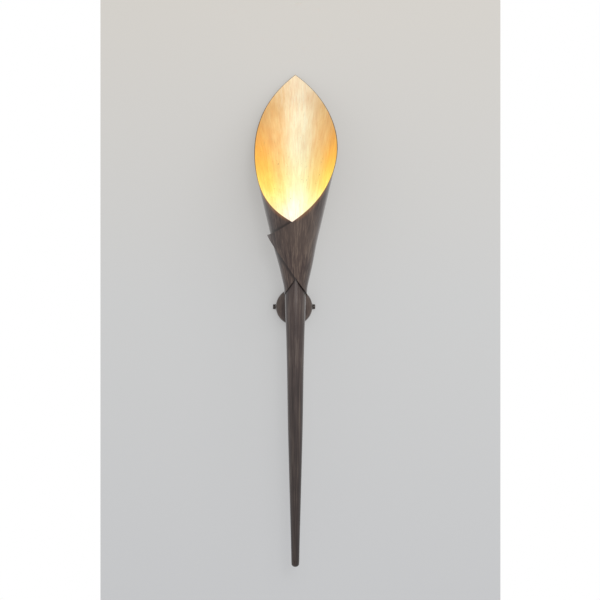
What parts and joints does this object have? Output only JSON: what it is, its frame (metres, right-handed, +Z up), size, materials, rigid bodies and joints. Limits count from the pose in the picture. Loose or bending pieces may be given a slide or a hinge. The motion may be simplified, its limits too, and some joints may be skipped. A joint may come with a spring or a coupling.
{
  "type": "torch sconce",
  "caption": "Tall wall light: a tapered hollow stem with a metal sheet rolled into an open leaf-shaped cone round its top, held off the wall by an arm and a domed rosette.",
  "frame": {"origin": "centre of the rosette and of the wall bracket, on the wall plane behind them", "axes": "+Z up along the stem towards the tip of the shade, +Y into the wall, -Y out into the room, +X to the right seen from the room"},
  "size_m": [0.1682, 0.192, 1.0041],
  "materials": {
    "dark_bronze": "dark brown patina, brushed along the length, satin",
    "dark_steel": "blackened, satin",
    "zinc": "zinc plated",
    "cast_aluminium": "turned, satin",
    "brass": "turned, satin",
    "ceramic": "white glazed ceramic, matt",
    "block_plastic": "off-white, matt",
    "grommet_rubber": "black, matt",
    "glass": "clear",
    "filament": "glowing",
    "sleeve_brown": "insulation, satin",
    "sleeve_blue": "insulation, satin",
    "sleeve_earth": "insulation, satin"
  },
  "bodies": {
    "sconce": {"shade_sheet": "dark_bronze", "shade_seat": "cast_aluminium", "shade_screws": "dark_steel", "stem_tube": "dark_bronze", "stem_tip": "dark_bronze", "arm_tube": "dark_bronze", "arm_saddle": "dark_bronze", "tie_nipple": "brass", "stem_washer": "zinc", "stem_nut": "brass", "rosette_cup": "dark_bronze", "cup_washer": "zinc", "earth_tag": "zinc", "cup_nut": "brass", "wall_bracket": "zinc", "terminal_block": "block_plastic", "terminal_inserts": "brass", "terminal_screws": "brass", "block_screws": "zinc", "earth_screw": "brass", "lead_live": "sleeve_brown", "lead_neutral": "sleeve_blue", "leads_earth": "sleeve_earth", "lead_grommet": "grommet_rubber", "holder_bridge": "zinc", "bridge_screws": "zinc", "holder_screws": "zinc", "lamp_holder": "ceramic", "holder_contacts": "brass"},
    "bulb": {"bulb_base": "ceramic", "bulb_pins": "zinc", "bulb_glass": "glass", "bulb_filament": "filament"},
    "side_screw_left": {"side_screw_left": "dark_steel"},
    "side_screw_right": {"side_screw_right": "dark_steel"}
  },
  "joints": [
    {"name": "bulb_pull", "type": "slide", "parent": "sconce", "child": "bulb", "axis": [0, 0, 1], "range_m": [0, 0.02]},
    {"name": "side_screw_left_out", "type": "slide", "parent": "sconce", "child": "side_screw_left", "axis": [-1, 0, 0], "range_m": [0, 0.007]},
    {"name": "side_screw_right_out", "type": "slide", "parent": "sconce", "child": "side_screw_right", "axis": [1, 0, 0], "range_m": [0, 0.007]}
  ]
}
